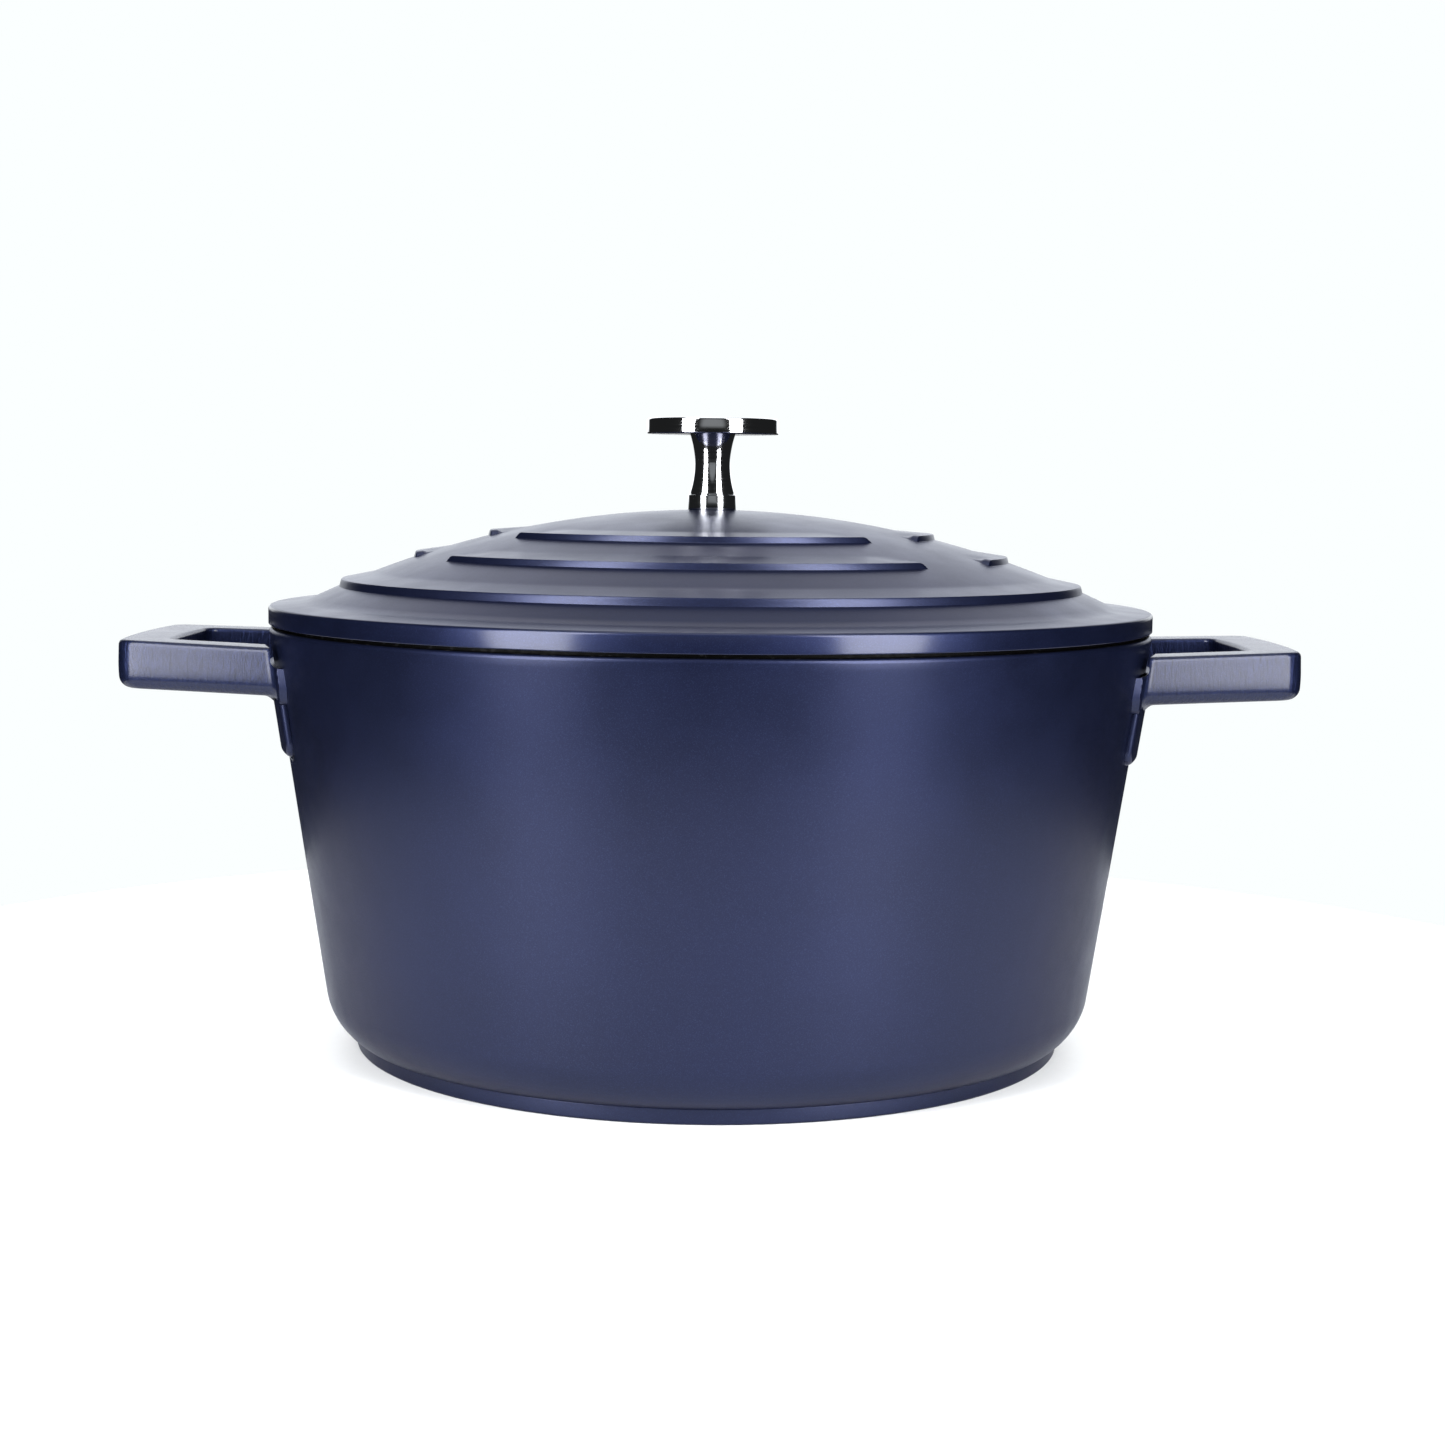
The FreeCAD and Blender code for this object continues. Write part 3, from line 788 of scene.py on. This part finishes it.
# ---------------------------------------------------------------- knob
def make_knob():
    bright = (0.60, 0.61, 0.63)
    cap = turned("knob_cap_look", rounded([
        (0, cap_low.z + 3.8 * MM),
        (2.5 * MM, cap_low.z + 3.8 * MM),
        (2.5 * MM, cap_low.z, 0.3 * MM),
        (cap_high.x, cap_low.z, 0.45 * MM),
        (cap_high.x, cap_high.z, 0.8 * MM),
        (0.5 * cap_high.x, cap_high.z),
        (0, cap_high.z),
    ]), (steel("cap_steel", 0.08, "radius", 900, 0.004 * MM, bright), steel("cap_edge_steel", 0.05, "height", 1500, 0.004 * MM, bright)), 192)
    paint(cap, lambda centre, normal: 1 if abs(normal.z) < 0.5 else 0)
    finish_piece(cap, "lid", "knob_steel", "knob_cap")

    end, waist = stem_high.x, 5.95 * MM
    half = (stem_high.z - stem_low.z) / 2
    curve = (half**2 + (end - waist) ** 2) / (2 * (end - waist))
    middle = (stem_high.z + stem_low.z) / 2
    outside = [(waist + curve - math.sqrt(curve**2 - (z - middle) ** 2), z)
               for z in evenly(stem_low.z, stem_high.z, 40)]
    stem = turned("knob_stem_look", [(CLEARANCE_HOLE_RADIUS, stem_low.z)] + outside
                  + [(CLEARANCE_HOLE_RADIUS, stem_high.z)],
                  (steel("stem_steel", 0.07, "height", 1500, 0.005 * MM, bright),), 128, closed=True)
    finish_piece(stem, "lid", "knob_steel", "knob_stem")

    neck = 7.3 * MM
    collar = turned("knob_collar_look", rounded([
        (CLEARANCE_HOLE_RADIUS, collar_low.z),
        (collar_high.x, collar_low.z, 0.2 * MM),
        (collar_high.x, collar_high.z - 0.5 * MM, 0.3 * MM),
        (neck, collar_high.z - 0.5 * MM),
        (neck, collar_high.z),
        (CLEARANCE_HOLE_RADIUS, collar_high.z),
    ]), (steel("collar_steel", 0.07, "height", 1500, 0.004 * MM, bright),), 128, closed=True)
    finish_piece(collar, "lid", "knob_steel", "knob_collar")


def make_fasteners():
    plain = steel("fastener_steel", 0.24, "radius", 1600, 0.010 * MM, (0.58, 0.58, 0.59))
    head_top = lock_low.z
    thread, pitch, depth = 2.45 * MM, 0.8 * MM, 0.35 * MM
    ridges = []
    z = head_top + 1.2 * MM
    while z < screw_high.z - 2 * pitch:
        ridges += [(thread, z + 0.1 * pitch), (thread - depth, z + 0.5 * pitch), (thread, z + 0.9 * pitch)]
        z += pitch
    screw = turned("knob_screw_look", rounded([
        (0, screw_low.z),
        (screw_high.x, screw_low.z, 2.2 * MM),
        (screw_high.x, head_top, 0.2 * MM),
        (thread, head_top),
        *ridges,
        (thread, screw_high.z - 0.8 * MM),
        (thread - 0.8 * MM, screw_high.z),
        (0, screw_high.z),
    ]), (plain,), 64)
    arms = []
    for turn in (0, 90):
        bm = bmesh.new()
        size = Matrix.Diagonal((5.0 * MM, 1.1 * MM, 4.0 * MM, 1))
        spin_it = Matrix.Rotation(math.radians(turn + 25), 4, "Z")
        bmesh.ops.create_cube(bm, size=1, matrix=Matrix.Translation((0, 0, screw_low.z)) @ spin_it @ size)
        for vert in bm.verts:
            if vert.co.z > screw_low.z:
                vert.co.x *= 0.55
                vert.co.y *= 0.55
        mesh = bpy.data.meshes.new("recess")
        bm.to_mesh(mesh)
        bm.free()
        arm = bpy.data.objects.new("recess", mesh)
        bpy.context.scene.collection.objects.link(arm)
        arms.append(arm)
    combine(screw, arms, "DIFFERENCE")
    finish_piece(screw, "lid", "fastener_steel", "knob_screw")

    hole = CLEARANCE_HOLE_RADIUS
    washer = turned("flat_washer_look", rounded([
        (hole, flat_low.z, 0.15 * MM),
        (flat_high.x, flat_low.z, 0.2 * MM),
        (flat_high.x, flat_high.z, 0.1 * MM),
        (hole, flat_high.z, 0.1 * MM),
    ], 3), (plain,), 96, closed=True)
    finish_piece(washer, "lid", "fastener_steel", "flat_washer")

    points, faces, turns = [], [], 90
    section = rounded([
        (hole, lock_low.z, 0.15 * MM), (lock_high.x, lock_low.z, 0.15 * MM),
        (lock_high.x, lock_high.z, 0.15 * MM), (hole, lock_high.z, 0.15 * MM),
    ], 3)
    for i in range(turns + 1):
        angle = math.radians(8) + (TAU - math.radians(16)) * i / turns
        for r, z in section:
            lean = 0.12 * (z - lock_low.z) / r * 4
            points.append((r * math.cos(angle + lean), r * math.sin(angle + lean), z))
    count = len(section)
    for i in range(turns):
        for k in range(count):
            n = (k + 1) % count
            faces.append((i * count + k, i * count + n, (i + 1) * count + n, (i + 1) * count + k))
    faces += [tuple(range(count)), tuple(range(turns * count, (turns + 1) * count))]
    ring = make_object("lock_washer_look", points, faces, (plain,))
    finish_piece(ring, "lid", "fastener_steel", "lock_washer")


# ---------------------------------------------------------------- stage, lights and camera
def make_stage():
    """A round pale table top."""
    reach = 0.38
    floor = turned("floor", [(0, 0), (0.2, 0), (reach, 0), (reach, -4 * MM), (0, -4 * MM)], (floor_material(),), 128)
    floor.location.z = -0.02 * MM


def make_world():
    """A white backdrop behind, a glow overhead, dim elsewhere, and plain white where the camera looks past."""
    world = bpy.data.worlds.new("studio")
    world.use_nodes = True
    tree = world.node_tree
    nodes, links = tree.nodes, tree.links
    nodes.clear()

    def value(operation, *numbers):
        made = nodes.new("ShaderNodeMath")
        made.operation = operation
        for number, socket in zip(numbers, made.inputs):
            if isinstance(number, float):
                socket.default_value = number
            else:
                links.new(number, socket)
        return made.outputs[0]

    def rise(socket, low, high):
        made = nodes.new("ShaderNodeMapRange")
        made.interpolation_type = "SMOOTHSTEP"
        links.new(socket, made.inputs["Value"])
        made.inputs["From Min"].default_value = low
        made.inputs["From Max"].default_value = high
        return made.outputs["Result"]

    coords = nodes.new("ShaderNodeTexCoord")
    split = nodes.new("ShaderNodeSeparateXYZ")
    links.new(coords.outputs["Generated"], split.inputs["Vector"])
    across, depth, up = split.outputs
    level = value("SQRT", value("MAXIMUM", value("SUBTRACT", 1.0, value("MULTIPLY", up, up)), 0.01))
    behind = value("MULTIPLY", rise(value("DIVIDE", depth, level), *BACKDROP_SPREAD), rise(up, -0.05, 0.03))
    behind = value("MULTIPLY", behind, value("SUBTRACT", 1.0, rise(up, *BACKDROP_TOP)))
    front = value("MULTIPLY", rise(value("MULTIPLY", depth, -1.0), 0.9, 0.97), rise(up, -0.05, 0.03))
    strength = value("MULTIPLY_ADD", behind, BACKDROP_LIGHT, AMBIENT_LIGHT)
    strength = value("MULTIPLY_ADD", rise(up, *OVERHEAD_REACH), OVERHEAD_LIGHT, strength)
    strength = value("MULTIPLY_ADD", front, FRONT_LIGHT, strength)

    lit = nodes.new("ShaderNodeBackground")
    lit.inputs["Color"].default_value = (0.95, 0.98, 1.0, 1)
    links.new(strength, lit.inputs["Strength"])
    seen = nodes.new("ShaderNodeBackground")
    seen.inputs["Color"].default_value = (0.965, 1.0, 1.0, 1)
    path = nodes.new("ShaderNodeLightPath")
    choose = nodes.new("ShaderNodeMixShader")
    links.new(path.outputs["Is Camera Ray"], choose.inputs["Fac"])
    links.new(lit.outputs["Background"], choose.inputs[1])
    links.new(seen.outputs["Background"], choose.inputs[2])
    output = nodes.new("ShaderNodeOutputWorld")
    links.new(choose.outputs["Shader"], output.inputs["Surface"])
    bpy.context.scene.world = world


def softbox(name, azimuth, elevation, distance, width, height):
    """A tall soft light that faces the middle of the pot. Azimuth is from -Y towards +X."""
    light = bpy.data.lights.new(name, "AREA")
    light.shape = "RECTANGLE"
    light.size = width
    light.size_y = height
    light.energy = SOFTBOX_POWER
    lamp = bpy.data.objects.new(name, light)
    a, e = math.radians(azimuth), math.radians(elevation)
    away = Vector((math.sin(a) * math.cos(e), -math.cos(a) * math.cos(e), math.sin(e)))
    lamp.location = Vector((0, 0, 0.5 * RIM_HEIGHT)) + away * distance
    lamp.rotation_euler = away.to_track_quat("Z", "Y").to_euler()
    lamp.visible_camera = False
    bpy.context.scene.collection.objects.link(lamp)


def make_camera():
    place = Vector((1.5, -795.7, 187.9)) * MM
    down, right, roll = math.radians(5.84), math.radians(0.20), math.radians(0.63)
    forward = Vector((math.sin(right) * math.cos(down), math.cos(right) * math.cos(down), -math.sin(down)))
    level = Vector((math.cos(right), -math.sin(right), 0))
    upright = level.cross(forward)
    across = level * math.cos(roll) + upright * math.sin(roll)
    up = upright * math.cos(roll) - level * math.sin(roll)
    data = bpy.data.cameras.new("camera")
    data.lens = 59.06
    data.sensor_width = 36
    data.clip_start, data.clip_end = 0.01, 20
    camera = bpy.data.objects.new("camera", data)
    camera.matrix_world = Matrix.Translation(place) @ Matrix((across, up, -forward)).transposed().to_4x4()
    bpy.context.scene.collection.objects.link(camera)
    bpy.context.scene.camera = camera


make_camera()
make_world()
make_stage()
softbox("softbox_left", -43, 20, 1.5, 0.6, 1.8)
softbox("softbox_right", 41, 20, 1.5, 0.6, 1.8)
make_pot()
make_plate()
make_lid()
make_knob()
make_fasteners()
bpy.context.scene.view_settings.view_transform = "Standard"
